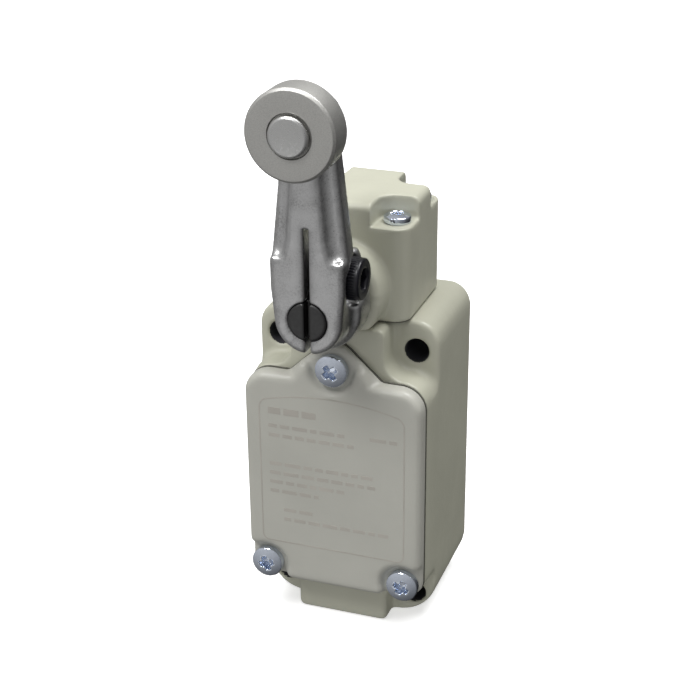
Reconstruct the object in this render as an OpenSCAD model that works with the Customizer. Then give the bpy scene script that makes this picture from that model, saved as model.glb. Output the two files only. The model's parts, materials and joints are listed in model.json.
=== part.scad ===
// Roller-lever limit switch: a die-cast box with a rotary head, a clamped roller lever and,
// inside, a push rod that works a snap switch with two pairs of contacts.
//
// Frame: X to the right, Y from the front to the back, Z up, millimetres. The origin is the
// middle of the four mounting holes, on the back face. "Depth" is the distance in front of the
// back face, so a point at depth d has y = -d.

/* [Housing] */
// Width of the housing
housing_w = 39.8; // [39.6:0.1:40.4]
// Height of the top face above the middle of the mounting holes
housing_top = 36; // [36:0.1:36.6]
// Distance of the bottom face below the middle of the mounting holes
housing_low = 34.9; // [34:0.1:36]
// Depth of the face that takes the cover gasket
housing_d = 31.4; // [31:0.1:32]
// Radius of the two upper outer corners
corner_r = 5; // [4:0.1:5.2]
// Radius of the two lower outer corners
low_corner_r = 9; // [5:0.1:9]
// Depth of the front of the mounting lugs
lug_d = 24.6; // [24.4:0.1:25]
// Thickness of the back wall
back_wall = 4; // [3.6:0.1:4.2]

/* [Mounting] */
// Sideways distance between the mounting holes
mount_w = 30.2; // [30:0.1:30.4]
// Upright distance between the mounting holes
mount_h = 58.7; // [58.5:0.1:59]
// Diameter of the mounting holes
mount_hole_d = 5.2; // [5:0.1:5.4]
// Diameter of the conduit entry in the bottom, at the root of its G1/2 thread
conduit_d = 20.96; // [20:0.01:21]

/* [Cover] */
// Width of the cover
cover_w = 39.2; // [38.8:0.1:39.2]
// Thickness of the cover
cover_t = 3.6; // [3:0.1:4]
// Thickness of the cover gasket
gasket_t = 0.4; // [0.3:0.1:1]

/* [Head] */
// Width of the head
head_w = 27.8; // [27.4:0.1:28]
// Depth of the head from its back to its front
head_d = 24; // [23.8:0.1:24.2]
// Height of the head above its gasket
head_h = 24.7; // [24:0.1:26]
// Radius of the round boss that carries the shaft
boss_r = 10.2; // [9:0.1:10.4]

/* [Lever] */
// Distance from the shaft to the roller
arm_length = 39; // [37:0.5:45]
// Diameter of the shaft
shaft_d = 8; // [7.8:0.1:8.2]
// Diameter of the roller
roller_d = 17.8; // [16:0.1:18]
// Width of the roller
roller_w = 6.7; // [6:0.1:8]

/* [Hidden] */
$fn = 64;

// Fits and margins
over = 1;              // how far a cut runs past the face that it opens
running_gap = 0.04;    // between a turning or sliding piece and its bearing, on the radius
thread_gap = 0.05;     // between a screw and its hole, on the radius
touch_gap = 0.05;      // between faces of moving pieces that rest against each other
passing_gap = 0.15;    // between a screw and a hole that it only passes through, on the radius
loose_gap = 0.2;       // between a turning piece and a part that it must not touch

// Heights and depths that several pieces share
shaft_r = shaft_d / 2;
shaft_z = housing_top + 7.2;         // height of the shaft's axis
roller_z = shaft_z + arm_length;     // height of the roller's axis
rod_depth = 13;                      // the push rod, the button and the contacts stand here
gasket_front = housing_d + gasket_t;
flange_front = gasket_front + cover_t / 2;
cover_front = gasket_front + cover_t;

// The housing's front, round the chamber
rim_d = 29;                          // the rim is a little narrower from here forward
rim_inset = 0.3;
rim_top = 25.05;                     // top of the shoulder under the upper lugs' pockets
rim_low = 25.05;
cover_low = 24.95;                   // the cover ends a little above the rim's lower edge
mid_w = 20.4;                        // the block between the upper pockets
foot_w = 20.6;                       // the block between the lower pockets
foot_d = 30;
pocket_r = 4.2;
shoulder_r = 5.3;
ear_r = 3.8;
chamber_w = 32.8;
chamber_top = 21.5;
chamber_step = 16.5;                 // below this the chamber is narrower, beside the cover screws
chamber_low = 23;
chamber_low_w = 22;
conduit_depth = 15.5;

// Screws: [radius of the thread, radius of the head, height of the head]
m3 = [1.5, 2.8, 2.0];
m35 = [1.75, 3.5, 2.4];
m5_cap = [2.5, 4.25, 5];
terminal_m35 = [1.75, 3, 2.2];

// The cover and its three screws
cover_top = 24.8;
tongue = [
    [-10.3, 24], [-10.3, 24.7], [-3.4, 31.2], [-2.1, 32.2],
    [2.1, 32.2], [3.4, 31.2], [10.3, 24.7], [10.3, 24]
];
shoulder = [[-8.7, 24], [-8.7, 24.7], [-7, 28.1], [7, 28.1], [8.7, 24.7], [8.7, 24]];
top_screw = [0, 27];
low_screw = [15.5, -21.5];
cover_screw_spots = [top_screw, low_screw, [-low_screw.x, low_screw.y]];
top_notch_r = 4.7;
low_notch_r = 4.5;
cover_screw_l = 10.2;
cover_recess = 1;                    // how far the cover is hollowed over the chamber
recess_r = 2;

// The head
head_back = 3.3;                     // depth of its back face
head_front = head_back + head_d;
head_gasket_t = 0.3;
head_gasket_inset = 0.5;
head_z = housing_top + head_gasket_t;
head_top = head_z + head_h;
head_corner_r = 3.5;
notch_h = 4.6;                       // how far the corner notches are sunk below the top
notch_x = 6;                         // half the width of the top between the notches
notch_arm = 8;                       // how far a notch runs in from the front or the back
notch_r = 3.5;
head_screw_x = 10.1;
head_screw_inset = 5;                // from the front and the back face
head_screw_l = 28;
boss_front = 33.4;
boss_draft = 0.25;
cavity_r = 7.2;
cavity_back = 7.5;
cavity_front = 24;

// The shaft and what is on it
shaft_back = 4.7;
shaft_front = 48;
journal_r = 3;
journal_front = 7.8;
shaft_slot_w = 1;
shaft_slot_d = 2.2;
bushing_r = 5.6;
seal_back = 31.2;
seal_front = 33.2;
seal_r = 6.4;
rear_bush_r = 5;
rear_bush_back = 4.5;
cam_back = 9.5;
cam_front = 16.5;
cam_r = 6.3;
cam_flat = 4.5;                      // from the axis to the face over the push rod
key_flat = 3.2;                      // from the axis to the flat that keys the cam on the shaft
spring_r = 5.4;                      // the torsion spring, between the cam and the retaining ring
spring_wire = 0.5;
spring_turns = 3;
spring_back = cam_front + 0.6;
spring_length = 4.9;
ring_back = 22.3;
ring_front = 23.1;
groove_r = 3.4;
ring_mouth = 2.7;                    // half the width of the retaining ring's open side
washer_back = 23.3;

// The push rod and its guide in the housing's top wall
rod_r = 2;
rod_low = 21.05;
rod_top = 36.7;
rod_head_r = 3.5;
rod_head_t = 1.5;
seal_pocket_r = 3.4;
seal_pocket_z = 26;
spring_pocket_r = 3.9;
spring_pocket_z = 28;
seat_t = 0.6;
rod_spring_r = 2.9;
rod_spring_wire = 0.3;

// The lever
lever_front = 47.7;
plate_front = 45.9;                    // the flutes beside the rib are cut back to here
arm_back = 41.3;
hub_back = 34;
hub_r = 7;
hub_rear_r = 8.6;
arm_end_r = 4.9;
slot_w = 1;
slot_top = 62.2;
clamp_z = shaft_z + 7.4;
clamp_depth = 40.5;
clamp_seat_x = 4.4;
clamp_pocket_r = 5.2;                // the pocket round the clamp screw's head
clamp_tip_x = -6.4;
socket_r = 2.3;                      // across the corners of the clamp screw's hexagon socket
socket_d = 2.6;
pin_r = 2.5;
pin_head_r = 3.95;
pin_head_t = 1.05;
pin_tail_r = 3.45;
pin_tail_t = 0.8;
roller_back = 47.9;
roller_front = roller_back + roller_w;
roller_edge = 0.5;                   // chamfer of the roller's rim

// The snap switch
base_w = 30;
base_front = 20;
base_low = -9;
base_top = 19.5;
well_w = 14.8;                       // the well for the contacts
well_low = 0;
well_top = 17;
well_back = 7;
lid_w = 16.8;
lid_t = 1.2;
button_top = 21;
button_flange_r = 3;
button_flange_t = 1.45;
button_pin_r = 1.1;
button_pin_low = 3.6;
inner_spring_r = 1.9;                // the button's spring and the contacts' spring
inner_spring_wire = 0.25;
bridge_z = 5.6;
strip_t = 0.8;                       // thickness of the bridge and of the terminal strips
bridge_w = 13.6;
strip_d = 2.8;                       // width of the bridge and of the tabs, front to back
contact_x = 5.4;
contact_r = 1.2;
contact_h = 0.5;                     // how far a moving contact stands out of the bridge
closed_tab_z = 7.7;                  // underside of the tab that is closed at rest
open_tab_z = 2.1;                    // underside of the tab that is open at rest
contact_travel = 1.08;
tab_x = 4;
leg_x = 9;
plate_x = 14.6;
plate_h = 6;
terminal_x = 11.8;
terminal_screw_l = 6;
washer_side = 5.6;
switch_screw_x = 12;
switch_screw_spots = [[-switch_screw_x, 16.6], [switch_screw_x, -6.2]];
switch_screw_tip = 0.8;              // depth of the end of the screw
ground_spot = [13.3, -12.9];
ground_boss_r = 2.8;
ground_boss_front = 9;
ground_screw_tip = 2.2;              // depth of the end of the screw

// Colours
paint = [0.78, 0.78, 0.72];
cast = [0.50, 0.50, 0.49];
sintered = [0.56, 0.56, 0.53];
zinc = [0.80, 0.82, 0.86];
steel = [0.62, 0.62, 0.64];
dark_steel = [0.24, 0.24, 0.25];
black = [0.07, 0.07, 0.09];
rubber = [0.14, 0.14, 0.14];
bronze = [0.66, 0.48, 0.28];
brass = [0.80, 0.66, 0.36];
silver = [0.86, 0.86, 0.88];
phenolic = [0.20, 0.16, 0.13];
button_red = [0.62, 0.20, 0.16];

// ---- Shared shapes ----

// Extrudes an outline drawn in X and Z from depth d0 forward to depth d1
module slab(d0, d1) {
    translate([0, -d0, 0]) rotate([90, 0, 0]) linear_extrude(d1 - d0) children();
}

// A round bar along the depth
module bar(x, z, r, d0, d1) {
    translate([x, -d0, z]) rotate([90, 0, 0]) cylinder(r = r, h = d1 - d0);
}

// A round bar upright
module post(x, depth, r, z0, z1) {
    translate([x, -depth, z0]) cylinder(r = r, h = z1 - z0);
}

// A round bar from left to right
module crossbar(depth, z, r, x0, x1) {
    translate([x0, -depth, z]) rotate([0, 90, 0]) cylinder(r = r, h = x1 - x0);
}

// A box between limits in X, depth and Z
module block(x0, x1, d0, d1, z0, z1) {
    translate([x0, -d1, z0]) cube([x1 - x0, d1 - d0, z1 - z0]);
}

// A ring on the shaft's axis
module shaft_ring(r_out, r_in, d0, d1) {
    difference() {
        bar(0, shaft_z, r_out, d0, d1);
        bar(0, shaft_z, r_in, d0 - over, d1 + over);
    }
}

// An upright ring round the push rod
module rod_ring(r_out, r_in, z0, z1) {
    difference() {
        post(0, rod_depth, r_out, z0, z1);
        post(0, rod_depth, r_in, z0 - over, z1 + over);
    }
}

// A rectangle centred on X = 0, with one corner radius below and another above
module rounded(w, z0, z1, r_low, r_up) {
    translate([-w / 2, z0 + r_low]) square([w, z1 - z0 - r_low - r_up]);
    translate([-w / 2 + r_low, z0]) square([w - 2 * r_low, r_low]);
    translate([-w / 2 + r_up, z1 - r_up]) square([w - 2 * r_up, r_up]);
    for (side = [-1, 1]) {
        translate([side * (w / 2 - r_low), z0 + r_low]) circle(r_low);
        translate([side * (w / 2 - r_up), z1 - r_up]) circle(r_up);
    }
}

// The filling of an inner corner at [x, z] that opens outward and up (up = 1) or down (up = -1)
module inner_corner(x, z, r, up) {
    for (side = [-1, 1])
        translate([side * x, z]) scale([side, up]) difference() {
            square(r);
            translate([r, r]) circle(r);
        }
}

// A pan-head screw along the depth: its seat is at depth `seat`, its tip behind it
module pan_screw(size, x, z, seat, length) {
    cross_w = size[1] * 0.24;
    difference() {
        union() {
            bar(x, z, size[0], seat - length, seat);
            bar(x, z, size[1], seat, seat + size[2]);
        }
        for (turn = [45, -45])
            translate([x, -seat - size[2], z]) rotate([0, turn, 0])
                cube([size[1] * 1.1, size[2], cross_w], center = true);
    }
}

// The wire of a coil spring along Z, as rings of points round a helix
function coil_points(r, wire, turns, rise, steps, sides) = [
    for (i = [0 : steps], j = [0 : sides - 1])
        let (
            around = 360 * turns * i / steps,
            across = 360 * j / sides,
            reach = r + wire * cos(across)
        )
        [reach * cos(around), reach * sin(around), rise * i / steps + wire * sin(across)]
];

function coil_faces(steps, sides) = concat(
    [[for (j = [0 : sides - 1]) j]],
    [
        for (i = [0 : steps - 1], j = [0 : sides - 1])
            let (here = i * sides, next = here + sides, k = (j + 1) % sides)
            [here + k, here + j, next + j, next + k]
    ],
    [[for (j = [sides - 1 : -1 : 0]) steps * sides + j]]
);

// A coil spring that stands on Z = 0 and is `height` tall over its wire
module coil(r, wire, turns, height) {
    steps = turns * 14;
    sides = 6;
    translate([0, 0, wire])
        polyhedron(coil_points(r, wire, turns, height - 2 * wire, steps, sides), coil_faces(steps, sides));
}

// ---- Housing and cover ----

// The housing's outline in front of the lugs
module rim_outline(w) {
    rounded(w, -rim_low, rim_top, ear_r + (w - cover_w) / 2, shoulder_r);
    translate([-mid_w / 2, 0]) square([mid_w, housing_top]);
    inner_corner(mid_w / 2, rim_top, pocket_r, 1);
}

module foot_outline() {
    translate([-foot_w / 2, -housing_low]) square([foot_w, housing_low]);
    inner_corner(foot_w / 2, -rim_low, pocket_r, -1);
}

module chamber_outline() {
    translate([-chamber_w / 2, -chamber_step]) square([chamber_w, chamber_step + chamber_top]);
    translate([-chamber_low_w / 2, -chamber_low]) square([chamber_low_w, chamber_low]);
}

module housing_shell() {
    difference() {
        union() {
            slab(0, lug_d) rounded(housing_w, -housing_low, housing_top, low_corner_r, corner_r);
            slab(lug_d - over, rim_d) rim_outline(housing_w);
            slab(rim_d - over, housing_d) rim_outline(housing_w - 2 * rim_inset);
            slab(lug_d - over, foot_d) foot_outline();
        }
        slab(back_wall, housing_d + over) chamber_outline();
    }
}

module housing() color(paint) {
    difference() {
        union() {
            housing_shell();
            bar(ground_spot.x, ground_spot.y, ground_boss_r, back_wall - over, ground_boss_front);
        }
        for (x = [-1, 1], z = [-1, 1])
            bar(x * mount_w / 2, z * mount_h / 2, mount_hole_d / 2, -over, lug_d + over);
        for (spot = cover_screw_spots)
            bar(spot.x, spot.y, m35[0] + thread_gap, flange_front - cover_screw_l - over, housing_d + over);
        for (spot = switch_screw_spots)
            bar(spot.x, spot.y, m3[0] + thread_gap, switch_screw_tip, back_wall + over);
        bar(ground_spot.x, ground_spot.y, m3[0] + thread_gap, ground_screw_tip - loose_gap, ground_boss_front + over);
        for (x = [-1, 1], depth = [head_back + head_screw_inset, head_front - head_screw_inset])
            post(x * head_screw_x, depth, m3[0] + thread_gap,
                head_top - notch_h - head_screw_l - over, housing_top + over);
        post(0, rod_depth, rod_r + running_gap, chamber_top - over, housing_top);
        post(0, rod_depth, seal_pocket_r, seal_pocket_z, housing_top);
        post(0, rod_depth, spring_pocket_r, spring_pocket_z, housing_top + over);
        post(0, conduit_depth, conduit_d / 2, -housing_low - over, -chamber_low + over);
    }
}

module cover_outline() {
    rounded(cover_w, -cover_low, cover_top, ear_r, shoulder_r);
    polygon(tongue);
}

module cover() color(paint) {
    difference() {
        union() {
            slab(gasket_front, flange_front) cover_outline();
            slab(flange_front - over, cover_front) difference() {
                union() {
                    rounded(cover_w, -cover_low, cover_top, ear_r, shoulder_r);
                    polygon(shoulder);
                }
                translate(top_screw) circle(top_notch_r);
                translate([-top_notch_r, top_screw.y]) square([2 * top_notch_r, top_notch_r]);
                for (side = [-1, 1]) {
                    translate([side * low_screw.x, low_screw.y]) circle(low_notch_r);
                    translate([side * (low_screw.x + low_notch_r), low_screw.y - low_notch_r])
                        square(2 * low_notch_r, center = true);
                }
            }
        }
        for (spot = cover_screw_spots)
            bar(spot.x, spot.y, m35[0] + passing_gap, gasket_front - over, cover_front + over);
        slab(gasket_front - over, gasket_front + cover_recess)
            rounded(chamber_w, -chamber_step, chamber_top, recess_r, recess_r);
    }
}

module cover_gasket() color(rubber)
    difference() {
        slab(housing_d, gasket_front) cover_outline();
        slab(housing_d - over, gasket_front + over) chamber_outline();
        for (spot = cover_screw_spots)
            bar(spot.x, spot.y, m35[0] + passing_gap, housing_d - over, gasket_front + over);
    }

module cover_screws() color(zinc)
    for (spot = cover_screw_spots) pan_screw(m35, spot.x, spot.y, flange_front, cover_screw_l);

// ---- Head ----

// The head's plan, drawn in X and Y
module head_plan() {
    translate([0, -head_back - head_d]) rounded(head_w, 0, head_d, head_corner_r, head_corner_r);
}

// A corner notch's plan, from its inner corner outward
module notch_plan() {
    reach = head_w;
    translate([notch_r, 0]) square([reach, reach]);
    translate([0, notch_r]) square([reach, reach]);
    translate([notch_r, notch_r]) circle(notch_r);
}

module head_screw_holes(r, z0, z1) {
    for (x = [-1, 1], depth = [head_back + head_screw_inset, head_front - head_screw_inset])
        post(x * head_screw_x, depth, r, z0, z1);
}

module boss() {
    difference() {
        translate([0, -cavity_front, shaft_z]) rotate([90, 0, 0])
            cylinder(r1 = boss_r + boss_draft, r2 = boss_r - boss_draft, h = boss_front - cavity_front);
        block(-head_w, head_w, 0, boss_front + over, 0, head_z);
    }
}

module head() color(paint) {
    difference() {
        union() {
            translate([0, 0, head_z]) linear_extrude(head_h) head_plan();
            boss();
        }
        for (side = [-1, 1], end = [-1, 1]) {
            inner = end < 0 ? -(head_front - notch_arm) : -(head_back + notch_arm);
            translate([side * notch_x, inner, head_top - notch_h]) scale([side, end, 1])
                linear_extrude(notch_h + over) notch_plan();
        }
        head_screw_holes(m3[0] + passing_gap, head_z - over, head_top);
        bar(0, shaft_z, cavity_r, cavity_back, cavity_front);
        block(-cavity_r, cavity_r, cavity_back, cavity_front, head_z - over, shaft_z);
        bar(0, shaft_z, bushing_r, cavity_front - over, boss_front);
        bar(0, shaft_z, seal_r, seal_back, boss_front + over);
        bar(0, shaft_z, rear_bush_r, rear_bush_back, cavity_back + over);
    }
}

module head_gasket() color(rubber)
    difference() {
        translate([0, 0, housing_top]) linear_extrude(head_gasket_t) offset(delta = -head_gasket_inset) head_plan();
        block(-cavity_r, cavity_r, cavity_back, cavity_front, housing_top - over, head_z + over);
        head_screw_holes(m3[0] + passing_gap, housing_top - over, head_z + over);
    }

module head_screws() color(zinc)
    for (x = [-1, 1], depth = [head_back + head_screw_inset, head_front - head_screw_inset])
        translate([x * head_screw_x, -depth, head_top - notch_h]) rotate([-90, 0, 0])
            pan_screw(m3, 0, 0, 0, head_screw_l);

// ---- Shaft and its bearings ----

module shaft() color(dark_steel)
    difference() {
        union() {
            bar(0, shaft_z, journal_r, shaft_back, journal_front);
            bar(0, shaft_z, shaft_r, journal_front, shaft_front);
        }
        block(-shaft_r, shaft_r, cam_back, cam_front, shaft_z + key_flat, shaft_z + 2 * shaft_r);
        difference() {
            bar(0, shaft_z, shaft_r + over, ring_back, ring_front);
            bar(0, shaft_z, groove_r, ring_back - over, ring_front + over);
        }
        block(-shaft_slot_w / 2, shaft_slot_w / 2, shaft_front - shaft_slot_d, shaft_front + over,
            shaft_z - 2 * shaft_r, shaft_z + 2 * shaft_r);
    }

module cam() color(steel)
    slab(cam_back, cam_front) translate([0, shaft_z]) difference() {
        intersection() {
            circle(cam_r);
            translate([-cam_r, -cam_flat]) square([2 * cam_r, cam_flat + cam_r]);
        }
        intersection() {
            circle(shaft_r);
            translate([-shaft_r, -shaft_r]) square([2 * shaft_r, shaft_r + key_flat]);
        }
    }

module front_bushing() color(bronze) shaft_ring(bushing_r, shaft_r + running_gap, cavity_front, seal_back);

module rear_bushing() color(bronze) shaft_ring(rear_bush_r, journal_r + running_gap, rear_bush_back, cavity_back);

module shaft_seal() color(rubber) shaft_ring(seal_r, shaft_r + running_gap, seal_back, seal_front);

module thrust_washer() color(steel) shaft_ring(seal_r, shaft_r + touch_gap, washer_back, cavity_front);

module retaining_ring() color(steel)
    difference() {
        shaft_ring(bushing_r, groove_r, ring_back, ring_front);
        block(-ring_mouth, ring_mouth, ring_back - over, ring_front + over,
            shaft_z - bushing_r - over, shaft_z);
    }

module torsion_spring() color(steel)
    translate([0, -spring_back, shaft_z]) rotate([90, 0, 0])
        coil(spring_r, spring_wire, spring_turns, spring_length);

// ---- Push rod ----

module push_rod() color(steel) {
    post(0, rod_depth, rod_r, rod_low, rod_top - rod_head_t);
    post(0, rod_depth, rod_head_r, rod_top - rod_head_t, rod_top);
}

module rod_seal() color(rubber) rod_ring(seal_pocket_r, rod_r + running_gap, seal_pocket_z, spring_pocket_z);

module rod_spring_seat() color(steel)
    rod_ring(spring_pocket_r - running_gap, rod_r + loose_gap, spring_pocket_z, spring_pocket_z + seat_t);

module rod_spring() color(steel) {
    foot = spring_pocket_z + seat_t + touch_gap;
    translate([0, -rod_depth, foot])
        coil(rod_spring_r, rod_spring_wire, 4, rod_top - rod_head_t - touch_gap - foot);
}

// ---- Lever and roller ----

// The arm's outline from the hub to the roller, tapering towards the roller
module arm_outline() {
    translate([0, shaft_z]) circle(hub_r);
    translate([0, roller_z]) circle(arm_end_r);
    polygon([
        [-hub_r, shaft_z], [-7.6, shaft_z + 6], [-7.9, shaft_z + 11.8], [-arm_end_r, roller_z],
        [arm_end_r, roller_z], [7.9, shaft_z + 11.8], [7.6, shaft_z + 6], [hub_r, shaft_z]
    ]);
}

// The raised front of the arm, which narrows to a rib above the clamp
module rib_outline() {
    translate([0, shaft_z]) circle(hub_r);
    translate([0, roller_z]) circle(arm_end_r);
    polygon([
        [-hub_r, shaft_z], [-7.6, shaft_z + 6], [-7.7, shaft_z + 13.8], [-6.2, shaft_z + 12.6],
        [-4.9, shaft_z + 13], [-4.1, shaft_z + 16.5], [-3.2, shaft_z + 27.5], [-2.9, roller_z],
        [2.9, roller_z], [3.2, shaft_z + 27.5], [4.1, shaft_z + 16.5], [4.9, shaft_z + 13],
        [6.2, shaft_z + 12.6], [7.7, shaft_z + 13.8], [7.6, shaft_z + 6], [hub_r, shaft_z]
    ]);
}

module hub_outline() {
    translate([0, shaft_z]) circle(hub_rear_r);
    polygon([
        [-hub_rear_r, shaft_z], [-7.9, shaft_z + 7], [-6, shaft_z + 11.6], [6, shaft_z + 11.6],
        [7.9, shaft_z + 7], [hub_rear_r, shaft_z]
    ]);
}

module lever() color(cast)
    difference() {
        union() {
            slab(arm_back, plate_front) arm_outline();
            slab(plate_front - over, lever_front) rib_outline();
            slab(hub_back, arm_back) hub_outline();
            bar(0, shaft_z, hub_r, hub_back, plate_front);
        }
        bar(0, shaft_z, shaft_r, hub_back - over, lever_front + over);
        block(-slot_w / 2, slot_w / 2, hub_back - over, lever_front + over, 0, slot_top);
        crossbar(clamp_depth, clamp_z, m5_cap[0] + thread_gap, clamp_tip_x - loose_gap, clamp_seat_x + over);
        crossbar(clamp_depth, clamp_z, clamp_pocket_r, clamp_seat_x, 2 * hub_rear_r);
        bar(0, roller_z, pin_r, hub_back, lever_front + over);
    }

module clamp_screw() color(black)
    difference() {
        union() {
            crossbar(clamp_depth, clamp_z, m5_cap[0], clamp_tip_x, clamp_seat_x);
            crossbar(clamp_depth, clamp_z, m5_cap[1], clamp_seat_x, clamp_seat_x + m5_cap[2]);
        }
        translate([clamp_seat_x + m5_cap[2] - socket_d, -clamp_depth, clamp_z]) rotate([0, 90, 0])
            cylinder(r = socket_r, h = socket_d + over, $fn = 6);
    }

module roller() color(sintered)
    translate([0, -roller_back, roller_z]) rotate([90, 0, 0]) rotate_extrude() {
        bore_r = pin_r + running_gap;
        rim_r = roller_d / 2;
        polygon([
            [bore_r, 0], [rim_r - roller_edge, 0], [rim_r, roller_edge],
            [rim_r, roller_w - roller_edge], [rim_r - roller_edge, roller_w], [bore_r, roller_w]
        ]);
    }

module roller_pin() color(steel) {
    bar(0, roller_z, pin_r, arm_back, roller_front + touch_gap);
    bar(0, roller_z, pin_head_r, roller_front + touch_gap, roller_front + touch_gap + pin_head_t);
    bar(0, roller_z, pin_tail_r, arm_back - pin_tail_t, arm_back);
}

// ---- Snap switch ----

// One terminal: a plate on the base's front, a leg into the base and a tab in the well.
// side is 1 on the right, tab_z the tab's underside, up is 1 where the plate rises from the tab.
module terminal(side, tab_z, up, grow) {
    plate_z = up > 0 ? tab_z : tab_z + strip_t - plate_h;
    leg_z = up > 0 ? tab_z : tab_z + strip_t - plate_h / 2;
    tab_back = rod_depth - strip_d / 2;
    scale([side, 1, 1]) {
        block(leg_x - grow, plate_x + grow, base_front, base_front + strip_t + grow,
            plate_z - grow, plate_z + plate_h + grow);
        block(leg_x - grow, leg_x + strip_t + grow, tab_back - grow, base_front + grow,
            leg_z - grow, leg_z + plate_h / 2 + grow);
        block(tab_x - grow, leg_x + grow, tab_back - grow, tab_back + strip_d + grow,
            tab_z - grow, tab_z + strip_t + grow);
    }
}

// Where the terminal screws stand: [side, height]
function terminal_spots() = [
    for (side = [-1, 1], z = [closed_tab_z + plate_h / 2, open_tab_z + strip_t - plate_h / 2])
        [side * terminal_x, z]
];

module terminals(tab_z, up) color(brass)
    difference() {
        for (side = [-1, 1]) terminal(side, tab_z, up, 0);
        for (spot = terminal_spots())
            bar(spot.x, spot.y, terminal_m35[0] + thread_gap, base_front - over, base_front + 2 * over);
    }

module closed_terminals() terminals(closed_tab_z, 1);

module open_terminals() terminals(open_tab_z, -1);

module switch_base() color(phenolic)
    difference() {
        block(-base_w / 2, base_w / 2, back_wall, base_front, base_low, base_top);
        block(-well_w / 2, well_w / 2, well_back, base_front + over, well_low, well_top);
        post(0, rod_depth, rod_r + running_gap, well_top - over, base_top + over);
        for (spot = switch_screw_spots)
            bar(spot.x, spot.y, m3[0] + passing_gap, back_wall - over, base_front + over);
        for (spot = terminal_spots())
            bar(spot.x, spot.y, terminal_m35[0] + thread_gap,
                base_front - terminal_screw_l - over, base_front + over);
        for (side = [-1, 1]) {
            terminal(side, closed_tab_z, 1, touch_gap);
            terminal(side, open_tab_z, -1, touch_gap);
        }
    }

module switch_lid() color(phenolic)
    block(-lid_w / 2, lid_w / 2, base_front, base_front + lid_t, well_low - 1, well_top + 1);

module switch_button() color(button_red) {
    flange_top = well_top - touch_gap;
    post(0, rod_depth, rod_r, flange_top, button_top);
    post(0, rod_depth, button_flange_r, flange_top - button_flange_t, flange_top);
    post(0, rod_depth, button_pin_r, button_pin_low, flange_top - button_flange_t);
}

module contact_spring() color(steel) {
    foot = bridge_z + strip_t + touch_gap;
    top = well_top - touch_gap - button_flange_t - touch_gap;
    translate([0, -rod_depth, foot]) coil(inner_spring_r, inner_spring_wire, 5, top - foot);
}

module button_spring() color(steel)
    translate([0, -rod_depth, well_low + touch_gap])
        coil(inner_spring_r, inner_spring_wire, 4, bridge_z - well_low - 2 * touch_gap);

module contact_bridge() color(brass)
    difference() {
        block(-bridge_w / 2, bridge_w / 2, rod_depth - strip_d / 2, rod_depth + strip_d / 2,
            bridge_z, bridge_z + strip_t);
        post(0, rod_depth, button_pin_r + loose_gap, bridge_z - over, bridge_z + strip_t + over);
        for (side = [-1, 1])
            post(side * contact_x, rod_depth, contact_r, bridge_z - over, bridge_z + strip_t + over);
    }

module moving_contacts() color(silver)
    for (side = [-1, 1])
        post(side * contact_x, rod_depth, contact_r, bridge_z - contact_h, bridge_z + strip_t + contact_h);

module fixed_contacts() color(silver)
    for (side = [-1, 1]) {
        post(side * contact_x, rod_depth, contact_r,
            bridge_z + strip_t + contact_h + touch_gap, closed_tab_z);
        post(side * contact_x, rod_depth, contact_r,
            open_tab_z + strip_t, bridge_z - contact_h - contact_travel - touch_gap);
    }

module terminal_washers() color(zinc)
    for (spot = terminal_spots())
        difference() {
            block(spot.x - washer_side / 2, spot.x + washer_side / 2,
                base_front + strip_t, base_front + 2 * strip_t,
                spot.y - washer_side / 2, spot.y + washer_side / 2);
            bar(spot.x, spot.y, terminal_m35[0] + thread_gap, base_front, base_front + 3 * strip_t);
        }

module terminal_screws() color(zinc)
    for (spot = terminal_spots())
        pan_screw(terminal_m35, spot.x, spot.y, base_front + 2 * strip_t, terminal_screw_l + strip_t);

module switch_screws() color(zinc)
    for (spot = switch_screw_spots)
        pan_screw(m3, spot.x, spot.y, base_front, base_front - switch_screw_tip);

module ground_screw() color(zinc)
    pan_screw(m3, ground_spot.x, ground_spot.y, ground_boss_front,
        ground_boss_front - ground_screw_tip);

housing();
cover();
cover_gasket();
cover_screws();
head();
head_gasket();
head_screws();
shaft();
cam();
front_bushing();
rear_bushing();
shaft_seal();
retaining_ring();
thrust_washer();
torsion_spring();
push_rod();
rod_seal();
rod_spring_seat();
rod_spring();
lever();
clamp_screw();
roller();
roller_pin();
switch_base();
switch_lid();
switch_button();
button_spring();
contact_bridge();
moving_contacts();
contact_spring();
closed_terminals();
open_terminals();
fixed_contacts();
terminal_washers();
terminal_screws();
switch_screws();
ground_screw();
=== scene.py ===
"""Looks of the roller-lever limit switch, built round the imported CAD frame.

The castings, the lever and the screws are made as distance fields on a regular grid: the CAD solid
is read as a field, its edges are rounded by moving its surface in and out, and the field is turned
back into a mesh. Fields are in millimetres, Blender's objects in metres.
"""

import json
import math

import bmesh
import bpy
import numpy as np
import openvdb as vdb
from mathutils import Matrix, Vector


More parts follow.
